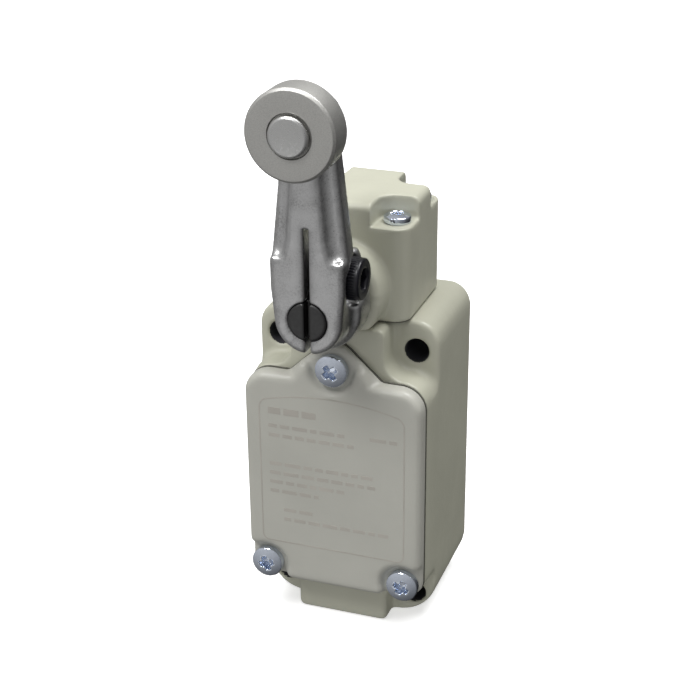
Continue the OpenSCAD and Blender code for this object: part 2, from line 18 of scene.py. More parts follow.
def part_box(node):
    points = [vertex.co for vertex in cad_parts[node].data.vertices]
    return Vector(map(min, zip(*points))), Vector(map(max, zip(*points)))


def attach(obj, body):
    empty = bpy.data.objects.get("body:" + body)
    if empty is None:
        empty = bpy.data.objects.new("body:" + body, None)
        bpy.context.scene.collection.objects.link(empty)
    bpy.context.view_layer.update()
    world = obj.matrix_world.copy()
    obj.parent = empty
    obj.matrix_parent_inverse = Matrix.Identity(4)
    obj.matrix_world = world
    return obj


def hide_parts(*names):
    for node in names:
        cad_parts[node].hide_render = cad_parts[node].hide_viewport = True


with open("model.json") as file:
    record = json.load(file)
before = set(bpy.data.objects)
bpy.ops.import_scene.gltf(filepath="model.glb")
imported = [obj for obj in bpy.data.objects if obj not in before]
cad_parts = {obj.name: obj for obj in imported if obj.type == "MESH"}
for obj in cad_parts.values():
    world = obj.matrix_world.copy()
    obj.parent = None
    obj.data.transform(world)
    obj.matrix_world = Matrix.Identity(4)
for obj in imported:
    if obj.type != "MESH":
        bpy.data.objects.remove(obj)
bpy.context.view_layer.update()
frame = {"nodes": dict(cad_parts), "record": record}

MM = 0.001
NODES = frame["nodes"]
BODY_OF = {
    node: body
    for body, members in frame["record"]["behaviour"]["bodies"].items()
    for node in members
}
SLOT_OF = {part["node"]: part["material_slot"] for part in frame["record"]["subparts"]}


# ---- Camera ----

CAMERA_PLACE = Vector((0.10054, -0.30292, 0.16187))
CAMERA_AZIMUTH, CAMERA_ELEVATION, CAMERA_ROLL = 19.62, 24.41, -0.437
CAMERA_LENS = 79.65
CAMERA_SHIFT = (-0.0052, -0.0008)
SENSOR_WIDTH = 36


def add_camera():
    azimuth, elevation, roll = map(math.radians, (CAMERA_AZIMUTH, CAMERA_ELEVATION, CAMERA_ROLL))
    back = Vector((
        math.sin(azimuth) * math.cos(elevation),
        -math.cos(azimuth) * math.cos(elevation),
        math.sin(elevation),
    ))
    level = Vector((math.cos(azimuth), math.sin(azimuth), 0))
    upright = back.cross(level)
    right = level * math.cos(roll) + upright * math.sin(roll)
    up = upright * math.cos(roll) - level * math.sin(roll)
    data = bpy.data.cameras.new("camera")
    data.lens, data.sensor_width = CAMERA_LENS, SENSOR_WIDTH
    data.shift_x, data.shift_y = CAMERA_SHIFT
    data.clip_start, data.clip_end = 0.01, 20
    camera = bpy.data.objects.new("camera", data)
    turn = Matrix((right, up, back)).transposed().to_4x4()
    camera.matrix_world = Matrix.Translation(CAMERA_PLACE) @ turn
    bpy.context.scene.collection.objects.link(camera)
    bpy.context.scene.camera = camera


# ---- Places read from the frame, in millimetres ----

def box_mm(node):
    low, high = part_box(node)
    return np.array(low) / MM, np.array(high) / MM


HOUSING_LOW, HOUSING_HIGH = box_mm("housing")
COVER_LOW, COVER_HIGH = box_mm("cover")
HEAD_LOW, HEAD_HIGH = box_mm("head")
SHAFT_LOW, SHAFT_HIGH = box_mm("shaft")
ROLLER_LOW, ROLLER_HIGH = box_mm("roller")
LEVER_LOW, LEVER_HIGH = box_mm("lever")
SHAFT_Z = (SHAFT_LOW[2] + SHAFT_HIGH[2]) / 2
ROLLER_Z = (ROLLER_LOW[2] + ROLLER_HIGH[2]) / 2

# Mounting holes: pitch across and upright, radius, and how deep in front of the back the lugs end
HOLE_PITCH_X, HOLE_PITCH_Z = 30.2, 58.7
HOLE_R = 2.6
LUG_DEPTH = 24.6
MOUNTING_HOLES = [(x, z) for x in (-HOLE_PITCH_X / 2, HOLE_PITCH_X / 2)
                  for z in (-HOLE_PITCH_Z / 2, HOLE_PITCH_Z / 2)]

# The chamber behind the cover: half its width, its bottom and its top
CHAMBER_X, CHAMBER_LOW, CHAMBER_HIGH = 16.4, -16.5, 21.5

# The conduit entry: its middle in Y, the radius at the root of its G1/2 thread, and the pitch
CONDUIT_Y = -15.5
CONDUIT_R = 10.48
CONDUIT_PITCH = 1.814

ROD_Y = -13          # middle of the push rod's bore
NOTCH_DEPTH = 4.6    # of the four corner notches in the head's top
CLAMP_POCKET_R = 5.2
LEVER_SLOT_TOP = 62.2
SLIT_HALF = 0.5      # half the width of the slits in the lever and the shaft

# Screws: thread radius, head radius, head height
M3, M35, M5 = (1.5, 2.8, 2.0), (1.75, 3.5, 2.4), (2.5, 4.25, 5)
TERMINAL_M35 = (1.75, 3.0, 2.2)


def corners(node, inset):
    """The low and the high corner of a node's box, both taken in by inset on every axis."""
    low, high = box_mm(node)
    return low + inset, high - inset


screws_low, screws_high = corners("cover_screws", M35[1])
COVER_SCREWS = [
    (0, screws_high[2]), (screws_low[0], screws_low[2]), (screws_high[0], screws_low[2]),
]
screws_low, screws_high = corners("head_screws", M3[1])
HEAD_SCREWS = [
    (x, y) for x in (screws_low[0], screws_high[0]) for y in (screws_low[1], screws_high[1])
]
clamp_low, clamp_high = corners("clamp_screw", M5[1])
CLAMP = (clamp_low[1] + clamp_high[1]) / 2, (clamp_low[2] + clamp_high[2]) / 2


# ---- Fields ----

def lattice(low, high, voxel):
    """The index of the first sample, and the X, Y and Z of every sample, of a grid over a box."""
    first = np.floor(np.array(low) / voxel).astype(int) - 4
    last = np.ceil(np.array(high) / voxel).astype(int) + 4
    axes = [np.arange(a, b + 1, dtype=np.float32) * np.float32(voxel) for a, b in zip(first, last)]
    return first, np.meshgrid(*axes, indexing="ij", sparse=True)


def surface(field, first, voxel, adaptivity=0.0):
    """The closed mesh where a field crosses zero: points, triangles and quads."""
    grid = vdb.FloatGrid(float(field.max()))
    grid.copyFromArray(field.astype(np.float32), ijk=tuple(int(i) for i in first))
    grid.transform = vdb.createLinearTransform(voxelSize=voxel)
    return grid.convertToPolygons(isovalue=0.0, adaptivity=adaptivity)


def level_set(mesh, voxel, reach):
    """Signed distances from a closed mesh, out to reach on both sides of it."""
    points, triangles, quads = mesh
    return vdb.FloatGrid.createLevelSetFromPolygons(
        points, triangles=triangles, quads=quads,
        transform=vdb.createLinearTransform(voxelSize=voxel), halfWidth=reach / voxel + 3,
    )


def moved(mesh, distance, voxel):
    """The mesh with its surface moved out by distance, or in where it is negative."""
    return level_set(mesh, voxel, abs(distance)).convertToPolygons(isovalue=distance, adaptivity=0.0)


def sampled(mesh, first, shape, voxel, reach=2.0):
    """A mesh's signed distances on a lattice."""
    field = np.empty(shape, np.float32)
    level_set(mesh, voxel, reach).copyToArray(field, ijk=tuple(int(i) for i in first))
    return field


def eased(field, first, voxel, edge, fillet):
    """The field with its outer edges rounded to the radius edge and its inner ones to fillet."""
    mesh = surface(field, first, voxel)
    if edge:
        mesh = moved(mesh, -edge, voxel)
    if edge + fillet:
        mesh = moved(mesh, edge + fillet, voxel)
    if fillet:
        mesh = moved(mesh, -fillet, voxel)
    return sampled(mesh, first, field.shape, voxel)


def node_mesh(node):
    """A CAD node's mesh, in millimetres."""
    data = NODES[node].data
    data.calc_loop_triangles()
    points = np.empty(len(data.vertices) * 3, np.float32)
    data.vertices.foreach_get("co", points)
    corners = np.empty(len(data.loop_triangles) * 3, np.int32)
    data.loop_triangles.foreach_get("vertices", corners)
    return points.reshape(-1, 3) / MM, corners.reshape(-1, 3).astype(np.uint32), None


def block(at, low, high):
    """Distance from a box."""
    middle = [(a + b) / 2 for a, b in zip(low, high)]
    half = [(b - a) / 2 for a, b in zip(low, high)]
    gaps = [np.abs(c - m) - h for c, m, h in zip(at, middle, half)]
    outside = sum(np.maximum(g, 0) ** 2 for g in gaps) ** 0.5
    return outside + np.minimum(np.maximum(np.maximum(gaps[0], gaps[1]), gaps[2]), 0)


def rod(at, axis, centre, radius, low, high):
    """Distance from a round bar along axis 0, 1 or 2; centre is its place on the other two."""
    across = [c for i, c in enumerate(at) if i != axis]
    radial = np.hypot(across[0] - centre[0], across[1] - centre[1]) - radius
    along = np.abs(at[axis] - (low + high) / 2) - (high - low) / 2
    outside = np.hypot(np.maximum(radial, 0), np.maximum(along, 0))
    return outside + np.minimum(np.maximum(radial, along), 0)


def union(*fields):
    out = fields[0]
    for f in fields[1:]:
        out = np.minimum(out, f)
    return out


def soft_union(a, b, blend):
    """Union with a rounded inner corner about blend wide."""
    h = np.clip(0.5 + 0.5 * (b - a) / blend, 0, 1)
    return b + (a - b) * h - blend * h * (1 - h)


def soft_cut(a, b, blend):
    """a without b, with the edge of the cut rounded over about blend."""
    return -soft_union(-a, b, blend)


# ---- Pieces ----

def link(name, mesh, body, material):
    piece = bpy.data.objects.new(name, mesh)
    bpy.context.scene.collection.objects.link(piece)
    mesh.materials.append(material)
    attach(piece, body)
    return piece


def add_piece(name, solid, body, material, node):
    """A Blender piece from points and faces in millimetres, shaded smooth, in place of a CAD node."""
    points, triangles, quads = solid
    faces = [] if triangles is None else [list(map(int, t[::-1])) for t in triangles]
    faces += [] if quads is None else [list(map(int, q[::-1])) for q in quads]
    mesh = bpy.data.meshes.new(name)
    mesh.from_pydata((np.asarray(points, float) * MM).tolist(), [], faces)
    mesh.polygons.foreach_set("use_smooth", [True] * len(mesh.polygons))
    piece = link(name, mesh, body, material)
    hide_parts(node)
    return piece


def gathered(solid, frames):
    """Copies of a solid, one for each (place, x_axis, y_axis, z_axis), as one solid."""
    points, triangles, quads = solid
    places = [np.asarray(points) @ np.array(axes, float) + np.array(place, float)
              for place, *axes in frames]
    shift = [i * len(points) for i in range(len(frames))]
    return (np.concatenate(places),
            None if triangles is None else np.concatenate([triangles.astype(int) + s for s in shift]),
            None if quads is None else np.concatenate([quads.astype(int) + s for s in shift]))


def thread(at, radius, length, pitch):
    """A threaded shank from the seat at the origin down to -length."""
    x, y, z = at
    turn = np.arctan2(y, x) / (2 * np.pi)
    ridge = np.abs(2 * ((z / pitch + turn) % 1) - 1)
    point = np.maximum(0, 0.6 - (z + length))
    crest = radius - 0.3 * ridge * (z < -0.8) - 0.6 * point
    return np.maximum(np.hypot(x, y) - crest, np.maximum(-length - z, z - 0.3))


def pan_head_screw(size, length, voxel):
    """A domed pan-head screw with a cross recess: seat at the origin, head up Z."""
    thread_r, head_r, head_h = size
    side = head_r + 0.4
    first, at = lattice((-side, -side, -length), (side, side, head_h), voxel)
    x, y, z = at
    edge, dome = 0.42 * head_h, 2.1 * head_r
    head = rod(at, 2, (0, 0), head_r - edge, -3 * edge, head_h - edge) - edge
    head = np.maximum(head, np.hypot(np.hypot(x, y), z - head_h + dome) - dome)
    head = np.maximum(head, -z)
    floor = head_h - 0.62 * head_r
    width = 0.10 * head_r + 0.14 * (z - floor)
    reach = 0.34 * head_r + 0.26 * (z - floor)
    wings = [np.maximum(np.abs(a) - width, np.abs(b) - reach) for a, b in ((x, y), (y, x))]
    recess = np.maximum(soft_union(*wings, 0.45), floor - z)
    head = soft_cut(head, recess, 0.16)
    return surface(union(head, thread(at, thread_r, length, 0.55)), first, voxel, 0.015)


def cap_screw(size, length, voxel):
    """A socket cap screw with a knurled head: seat at the origin, head up Z."""
    thread_r, head_r, head_h = size
    side = head_r + 0.4
    first, at = lattice((-side, -side, -length), (side, side, head_h), voxel)
    x, y, z = at
    knurl = 0.07 * np.cos(44 * np.arctan2(y, x)) * (np.abs(z - 0.45 * head_h) < 0.34 * head_h)
    head = rod(at, 2, (0, 0), head_r - 0.5, -2, head_h - 0.5) - 0.5 + 0.07 + knurl
    head = np.maximum(head, -z)
    hexagon = np.maximum(np.abs(x), np.abs(x) * 0.5 + np.abs(y) * 0.866) - 2.0
    socket = np.maximum(hexagon, head_h - 2.6 - z)
    socket = union(socket, np.hypot(x, y) - 1.6 - (z - head_h + 0.9))
    head = soft_cut(head, socket, 0.15)
    return surface(union(head, thread(at, thread_r, length, 0.8)), first, voxel, 0.015)


def facing_front(place, turn):
    """The frame of a screw whose head points out of the front, turned about its axis."""
    c, s = math.cos(math.radians(turn)), math.sin(math.radians(turn))
    return place, (c, 0, s), (-s, 0, c), (0, -1, 0)


def add_front_screws(node, size, spots, turns, voxel=0.13):
    """Screws that point out of the front at spots (x, z), as long as their CAD node is deep."""
    low, high = box_mm(node)
    seat = low[1] + size[2]
    solid = pan_head_screw(size, high[1] - seat, voxel)
    frames = [facing_front((x, seat, z), turn) for (x, z), turn in zip(spots, turns)]
    add_piece(node + "_turned", gathered(solid, frames), BODY_OF[node], MATERIALS[SLOT_OF[node]],
              node)


def hold_flats(piece):
    """Lets large flat faces keep their own normals, so that only the rounded edges shade round."""
    weighted = piece.modifiers.new("hold_flats", "WEIGHTED_NORMAL")
    weighted.mode = "FACE_AREA"
    weighted.weight = 100
    weighted.keep_sharp = False


def paint_bore_shade(piece, bores, material):
    """Gives the walls of the round holes in bores, as (axis, centre, radius), their own material: a
    near-black painted shade, darker than the bare casting would be.
    """
    mesh = piece.data
    mesh.materials.append(material)
    points = np.empty(len(mesh.vertices) * 3, np.float32)
    mesh.vertices.foreach_get("co", points)
    points = points.reshape(-1, 3) / MM
    near = [np.hypot(*(np.delete(points, axis, axis=1) - centre).T) < radius + 0.12
            for axis, centre, radius in bores]
    loops = np.empty(len(mesh.loops), np.int32)
    mesh.loops.foreach_get("vertex_index", loops)
    starts = np.empty(len(mesh.polygons), np.int32)
    mesh.polygons.foreach_get("loop_start", starts)
    inside = np.zeros(len(starts), bool)
    for wall in near:
        inside |= np.logical_and.reduceat(wall[loops], starts)
    mesh.polygons.foreach_set("material_index", inside.astype(np.int32))


CRISP_R = 0.3        # radius left on the edges of a casting's hollows
CASTING_MARGIN = 2.4


def casting(node, material, voxel, edge, fillet, hollows, sealed=(), spread=()):
    """A casting made from its CAD node, with edges rounded to edge and inner corners to fillet.

    The hollows are closed up to its faces while its edges are eased, and are cut back past them
    after. The sealed holes stay closed, because screws fill them. The faces that meet another
    piece keep sharp edges: the shape is drawn out past each plane in spread, as (axis, place,
    sign), while it is eased.
    """
    low, high = box_mm(node)
    reach = CASTING_MARGIN
    first, at = lattice(low - reach, high + reach, voxel)
    shape = tuple(max(c.shape[i] for c in at) for i in range(3))
    solid = sampled(node_mesh(node), first, shape, voxel)
    far = np.full(shape, 9, np.float32)
    plugs, cuts = hollows(at, 0), hollows(at, 9)
    whole = union(far, solid, *plugs, *[sealed_hole(at) for sealed_hole in sealed])
    for axis, place, sign in spread:
        depth = int(round(place / voxel)) - first[axis] - sign
        layer = np.take(whole, [depth], axis=axis)
        side = [slice(None)] * 3
        side[axis] = slice(depth, None) if sign > 0 else slice(None, depth + 1)
        whole[tuple(side)] = layer
    rim = np.full(shape, voxel, np.float32)
    rim[2:-2, 2:-2, 2:-2] = -9
    whole = eased(np.maximum(whole, rim), first, voxel, edge, fillet)
    cut = np.maximum(whole, -union(far, *cuts))
    for axis, place, sign in spread:
        cut = np.maximum(cut, sign * (at[axis] - place))
    cut = eased(cut, first, voxel, CRISP_R, 0)
    piece = add_piece(node + "_casting", surface(cut, first, voxel, 0.02),
                      BODY_OF[node], material, node)
    hold_flats(piece)
    return piece


def softened(profile, radius, steps=4):
    """An open or closed profile with its corners rounded."""
    out = []
    for i, (r, d) in enumerate(profile):
        here = np.array((r, d), float)
        before = np.array(profile[i - 1], float) - here
        after = np.array(profile[(i + 1) % len(profile)], float) - here
        near = min(radius, np.linalg.norm(before) / 2.5, np.linalg.norm(after) / 2.5)
        if r == 0:
            out.append((r, d))
            continue
        a = here + before / np.linalg.norm(before) * near
        b = here + after / np.linalg.norm(after) * near
        for k in range(steps + 1):
            t = k / steps
            out.append(tuple((1 - t) ** 2 * a + 2 * t * (1 - t) * here + t * t * b))
    return out


def add_turned(node, profile, radius, segments=144):
    """A part turned about the roller's axis from a closed profile of (radius, depth)."""
    profile = softened(profile, radius)
    points = []
    for i in range(segments):
        around = 2 * math.pi * i / segments
        points += [(r * math.cos(around), -d, ROLLER_Z + r * math.sin(around)) for r, d in profile]
    count = len(profile)
    quads = np.array([
        (i * count + j, i * count + (j + 1) % count,
         (i + 1) % segments * count + (j + 1) % count, (i + 1) % segments * count + j)
        for i in range(segments) for j in range(count)
    ])
    piece = add_piece(node + "_turned", (points, None, quads), BODY_OF[node],
                      MATERIALS[SLOT_OF[node]], node)
    shape = bmesh.new()
    shape.from_mesh(piece.data)
    bmesh.ops.remove_doubles(shape, verts=shape.verts, dist=1e-7)
    bmesh.ops.dissolve_degenerate(shape, edges=shape.edges, dist=1e-8)
    bmesh.ops.recalc_face_normals(shape, faces=shape.faces)
    shape.to_mesh(piece.data)
    shape.free()
    return piece


# ---- Materials ----

class Nodes:
    """Short names for building a material's node tree."""

    def __init__(self, name):
        self.material = bpy.data.materials.new(name)
        self.material.use_nodes = True
        self.tree = self.material.node_tree
        self.tree.nodes.clear()
        self.output = self.add("ShaderNodeOutputMaterial")
        self.shader = self.add("ShaderNodeBsdfPrincipled")
        self.join(self.shader.outputs["BSDF"], self.output.inputs["Surface"])

    def add(self, kind, **settings):
        node = self.tree.nodes.new(kind)
        for key, value in settings.items():
            setattr(node, key, value)
        return node

    def join(self, source, target):
        self.tree.links.new(source, target)

    def place(self):
        """Object coordinates in millimetres."""
        coordinates = self.add("ShaderNodeTexCoord")
        scale = self.add("ShaderNodeVectorMath", operation="SCALE")
        scale.inputs["Scale"].default_value = 1 / MM
        self.join(coordinates.outputs["Object"], scale.inputs[0])
        return scale.outputs["Vector"]

    def noise(self, size, detail=2.0, roughness=0.5):
        """Noise with features about size millimetres across."""
        noise = self.add("ShaderNodeTexNoise")
        noise.inputs["Scale"].default_value = 1 / size
        noise.inputs["Detail"].default_value = detail
        noise.inputs["Roughness"].default_value = roughness
        self.join(self.place(), noise.inputs["Vector"])
        return noise.outputs["Fac"]

    def ramp(self, factor, low, high, start=0.0, end=1.0):
        """factor mapped from start..end to low..high."""
        mapped = self.add("ShaderNodeMapRange")
        limits = {"From Min": start, "From Max": end, "To Min": low, "To Max": high}
        for key, value in limits.items():
            mapped.inputs[key].default_value = value
        self.join(factor, mapped.inputs["Value"])
        return mapped.outputs["Result"]

    def mix(self, factor, first, second):
        """A colour between two, by factor; each is a tuple or a socket."""
        mix = self.add("ShaderNodeMix", data_type="RGBA")
        self.join(factor, mix.inputs["Factor"])
        for socket, value in ((mix.inputs["A"], first), (mix.inputs["B"], second)):
            if isinstance(value, tuple):
                socket.default_value = (*value, 1)
            else:
                self.join(value, socket)
        return mix.outputs["Result"]

    def bump(self, height, depth, under=None):
        """A normal from a height map whose full range is depth millimetres."""
        bump = self.add("ShaderNodeBump")
        bump.inputs["Strength"].default_value = 1.0
        bump.inputs["Distance"].default_value = depth * MM
        self.join(height, bump.inputs["Height"])
        if under is not None:
            self.join(under, bump.inputs["Normal"])
        return bump.outputs["Normal"]

    def pointiness(self):
        return self.add("ShaderNodeNewGeometry").outputs["Pointiness"]

    def set(self, **values):
        names = {"metallic": "Metallic", "roughness": "Roughness", "color": "Base Color",
                 "normal": "Normal", "specular": "Specular IOR Level"}
        for key, value in values.items():
            socket = self.shader.inputs[names[key]]
            if isinstance(value, bpy.types.NodeSocket):
                self.join(value, socket)
            else:
                socket.default_value = (*value, 1) if isinstance(value, tuple) else value


def paint(name, color):
    """Satin stoving enamel on a casting: fine orange peel and a faint change of tone."""
    m = Nodes(name)
    tone = m.noise(14, detail=3)
    m.set(
        color=m.mix(m.ramp(tone, 0, 1, 0.35, 0.65),
                    tuple(c * 0.97 for c in color), tuple(c * 1.03 for c in color)),
        roughness=m.ramp(m.noise(3), 0.36, 0.46, 0.3, 0.7),
        normal=m.bump(m.noise(0.35, detail=1), 0.010, under=m.bump(m.noise(1.6, detail=2), 0.03)),
        specular=0.5,
    )
    return m.material


def cast_metal():
    """Tumbled zinc die casting: grainy, with darker pits, and with painted shade that darkens its
    inner corners and creases.
    """
    m = Nodes("cast_metal")
    grain = m.noise(0.35, detail=4, roughness=0.7)
    cloud = m.noise(4, detail=3)
    pitted = m.mix(m.ramp(grain, 0, 1, 0.35, 0.6), (0.36, 0.36, 0.36), (0.60, 0.60, 0.60))
    cloud_and_crease_shade = m.mix(m.ramp(cloud, 0, 1, 0.3, 0.7), pitted, (0.62, 0.62, 0.62))
    # Painted shade: where the surface curves inward (low pointiness) the colour goes to near black
    cloud_and_crease_shade = m.mix(m.ramp(m.pointiness(), 1, 0, 0.44, 0.495), cloud_and_crease_shade, (0.16, 0.16, 0.16))
    m.set(
        color=cloud_and_crease_shade,
        metallic=1.0,
        roughness=m.ramp(grain, 0.26, 0.42, 0.3, 0.7),
        normal=m.bump(grain, 0.016, under=m.bump(m.noise(2.5), 0.05)),
    )
    return m.material


def sintered_steel():
    """Pressed and sintered steel: matte, with open pores."""
    m = Nodes("sintered_steel")
    grain = m.noise(0.22, detail=3, roughness=0.7)
    m.set(
        color=m.mix(m.ramp(grain, 0, 1, 0.35, 0.6), (0.47, 0.465, 0.445), (0.57, 0.565, 0.54)),
        metallic=0.9,
        roughness=m.ramp(grain, 0.42, 0.54, 0.3, 0.7),
        normal=m.bump(grain, 0.012),
    )
    return m.material


def plated(name, color, roughness, depth=0.004):
    """Plated or turned steel with faint tool marks."""
    m = Nodes(name)
    marks = m.noise(0.6, detail=3, roughness=0.6)
    m.set(
        color=m.mix(marks, color, tuple(c * 0.86 for c in color)),
        metallic=1.0,
        roughness=m.ramp(marks, roughness * 0.8, roughness * 1.25, 0.3, 0.7),
        normal=m.bump(marks, depth),
    )
    return m.material


def plain(name, color, roughness, grain=0.4, depth=0.006, metallic=0.0):
    """Rubber, moulded plastic or a blackened surface with a fine grain."""
    m = Nodes(name)
    speck = m.noise(grain, detail=2)
    m.set(
        color=m.mix(speck, tuple(c * 0.8 for c in color), tuple(min(1, c * 1.2) for c in color)),
        metallic=metallic,
        roughness=m.ramp(speck, roughness * 0.85, min(1, roughness * 1.15), 0.3, 0.7),
        normal=m.bump(speck, depth),
    )
    return m.material


MATERIALS = {
    "grey_paint": paint("grey_paint", (0.445, 0.445, 0.362)),
    "cast_metal": cast_metal(),
    "sintered_steel": sintered_steel(),
    "zinc_plate": plated("zinc_plate", (0.78, 0.84, 0.95), 0.11, 0.010),
    "steel": plated("steel", (0.66, 0.66, 0.65), 0.30),
    "dark_steel": plated("dark_steel", (0.09, 0.09, 0.09), 0.38),
    "black_oxide": plain("black_oxide", (0.006, 0.006, 0.009), 0.33, metallic=0.1),
    "rubber": plain("rubber", (0.02, 0.02, 0.02), 0.7),
    "bronze": plated("bronze", (0.52, 0.33, 0.16), 0.34),
    "brass": plated("brass", (0.70, 0.52, 0.22), 0.28),
    "silver_contact": plated("silver_contact", (0.86, 0.86, 0.86), 0.22),
    "phenolic": plain("phenolic", (0.035, 0.026, 0.02), 0.45),
    "button_plastic": plain("button_plastic", (0.36, 0.04, 0.03), 0.4),
}


COVER_PAINT = paint("cover_paint", (0.43, 0.427, 0.383))
SEAM = plain("seam", (0.115, 0.115, 0.095), 0.7)


# ---- Castings ----

def hole(axis, centre, radius, low, high):
    """A drilled hole, as a field to be sampled later."""
    return lambda at: rod(at, axis, centre, radius, low, high)


def conduit_thread(at, bottom):
    """The G1/2 entry: its wall stands in between the turns of the thread."""
    across, deep = np.hypot(at[0], at[1] - CONDUIT_Y), at[2]
    turn = np.arctan2(at[1] - CONDUIT_Y, at[0]) / (2 * np.pi)
    ridge = np.abs(2 * ((deep / CONDUIT_PITCH + turn) % 1) - 1)
    mouth = np.maximum(0, HOUSING_LOW[2] + 1.2 - deep)
    wall = across - np.minimum(CONDUIT_R, 9.4 + 1.08 * ridge + mouth)
    return np.maximum(wall * 0.6, np.maximum(bottom - deep, deep + 22))


def housing_hollows(at, past):
    front, top, bottom = HOUSING_LOW[1] - past, HOUSING_HIGH[2] + past, HOUSING_LOW[2] - past
    return [
        block(at, (-CHAMBER_X, front, CHAMBER_LOW), (CHAMBER_X, -4, CHAMBER_HIGH)),
        block(at, (-11, front, -23), (11, -4, -10)),
        conduit_thread(at, bottom),
        rod(at, 2, (0, ROD_Y), 2.04, 20, top),
        rod(at, 2, (0, ROD_Y), 3.4, 26, top),
        rod(at, 2, (0, ROD_Y), 3.9, 28, top),
        *[rod(at, 1, spot, HOLE_R, -LUG_DEPTH - past, past) for spot in MOUNTING_HOLES],
    ]


HOUSING_SEALED = (
    [hole(1, spot, 2.0, HOUSING_LOW[1], -18) for spot in COVER_SCREWS]
    + [hole(2, spot, 1.8, 26, HOUSING_HIGH[2]) for spot in HEAD_SCREWS]
    + [hole(1, spot, 1.8, -5, -0.6) for spot in ((-12, 16.6), (12, -6.2))]
    + [hole(1, (13.3, -12.9), 2.8, -9, -1.8)]
)


def cover_hollows(at, past):
    back = COVER_HIGH[1]
    return [block(at, (-CHAMBER_X, back - 1, CHAMBER_LOW),
                  (CHAMBER_X, back + past, CHAMBER_HIGH))]


COVER_SEALED = [hole(1, spot, 2.1, COVER_LOW[1] + 1.7, COVER_HIGH[1]) for spot in COVER_SCREWS]


def head_hollows(at, past):
    low, notch = HEAD_LOW[2] - past, HEAD_HIGH[2] - NOTCH_DEPTH
    limit = block(at, HEAD_LOW - past, HEAD_HIGH + past)
    fields = []
    for side in (-1, 1):
        for inner, outward in ((-19.3, -1), (-11.3, 1)):
            x = side * at[0] - 6 - 3.5
            y = outward * (at[1] - inner) - 3.5
            corner = np.hypot(np.minimum(x, 0), np.minimum(y, 0)) - 3.5
            fields.append(np.maximum(np.maximum(corner, notch - at[2]), limit))
    return fields + [
        rod(at, 1, (0, SHAFT_Z), 7.2, -24, -7.5),
        block(at, (-7.2, -24, low), (7.2, -7.5, SHAFT_Z)),
        rod(at, 1, (0, SHAFT_Z), 5.6, -32, -23),
        rod(at, 1, (0, SHAFT_Z), 6.4, HEAD_LOW[1] - past, -31.2),
        rod(at, 1, (0, SHAFT_Z), 5, -8, -4.5),
    ]


HEAD_SEALED = [
    hole(2, spot, 1.8, HEAD_LOW[2], HEAD_HIGH[2] - NOTCH_DEPTH) for spot in HEAD_SCREWS
]


def lever_hollows(at, past):
    front, back = LEVER_LOW[1] - past, LEVER_HIGH[1] + past
    return [
        block(at, (-SLIT_HALF, front, SHAFT_Z - 6.6 - past), (SLIT_HALF, back, LEVER_SLOT_TOP)),
        rod(at, 1, (0, SHAFT_Z), 4, front, back),
        rod(at, 0, CLAMP, 2.55, -6.6, 5 + past),
        rod(at, 0, CLAMP, CLAMP_POCKET_R, 4.4, 6 + past),
    ]


def shaft_hollows(at, past):
    front = SHAFT_LOW[1]
    half = 3.4 + past
    return [block(at, (-SLIT_HALF, front - past, SHAFT_Z - half),
                  (SLIT_HALF, front + 2.2, SHAFT_Z + half))]


LEVER_SEALED = [hole(1, (0, ROLLER_Z), 2.6, LEVER_LOW[1], LEVER_HIGH[1])]

add_camera()
box = casting("housing", MATERIALS["grey_paint"], 0.3, 0.9, 0.6, housing_hollows, HOUSING_SEALED,
              spread=((1, 0, 1), (1, HOUSING_LOW[1], -1)))
# Painted shade: the mounting holes and the conduit entry get a near-black material, darker than bare
# die-cast metal, so that they read as dark hollows
paint_bore_shade(
    box, [(1, spot, HOLE_R) for spot in MOUNTING_HOLES] + [(2, (0, CONDUIT_Y), 10.5)],
    plain("bore_painted_shade", (0.035, 0.035, 0.04), 0.55),
)
casting("cover", COVER_PAINT, 0.2, 1.4, 0.6, cover_hollows, COVER_SEALED,
        spread=((1, COVER_HIGH[1], 1),))
casting("head", MATERIALS["grey_paint"], 0.2, 1.5, 0.5, head_hollows, HEAD_SEALED,
        spread=((2, HEAD_LOW[2], -1),))
casting("lever", MATERIALS["cast_metal"], 0.15, 0.8, 1.5, lever_hollows, LEVER_SEALED)
casting("shaft", MATERIALS["dark_steel"], 0.12, 0.35, 0, shaft_hollows)

add_front_screws("cover_screws", M35, COVER_SCREWS, (38, 20, 64))
low, high = corners("terminal_screws", TERMINAL_M35[1])
add_front_screws("terminal_screws", TERMINAL_M35,
                 [(x, z) for x in (low[0], high[0]) for z in (low[2], high[2])], (12, 70, 35, 50))
low, high = corners("switch_screws", M3[1])
add_front_screws("switch_screws", M3, [(low[0], high[2]), (high[0], low[2])], (25, 60))
low, high = corners("ground_screw", M3[1])
add_front_screws("ground_screw", M3, [(low[0], low[2])], (40,))

low, high = box_mm("head_screws")
seat = high[2] - M3[2]
add_piece("head_screws_turned",
          gathered(pan_head_screw(M3, seat - low[2], 0.15),
                   [((x, y, seat), (math.cos(t), math.sin(t), 0),
                     (-math.sin(t), math.cos(t), 0), (0, 0, 1))
                    for (x, y), t in zip(HEAD_SCREWS, (0.4, 1.1, 0.7, 0.2))]),
          "case", MATERIALS["zinc_plate"], "head_screws")

low, high = box_mm("clamp_screw")
seat = high[0] - M5[2]
add_piece("clamp_screw_turned",
          gathered(cap_screw(M5, seat - low[0], 0.13),
                   [((seat, CLAMP[0], CLAMP[1]), (0, 0.94, 0.342), (0, -0.342, 0.94), (1, 0, 0))]),
          BODY_OF["clamp_screw"], MATERIALS["black_oxide"], "clamp_screw")

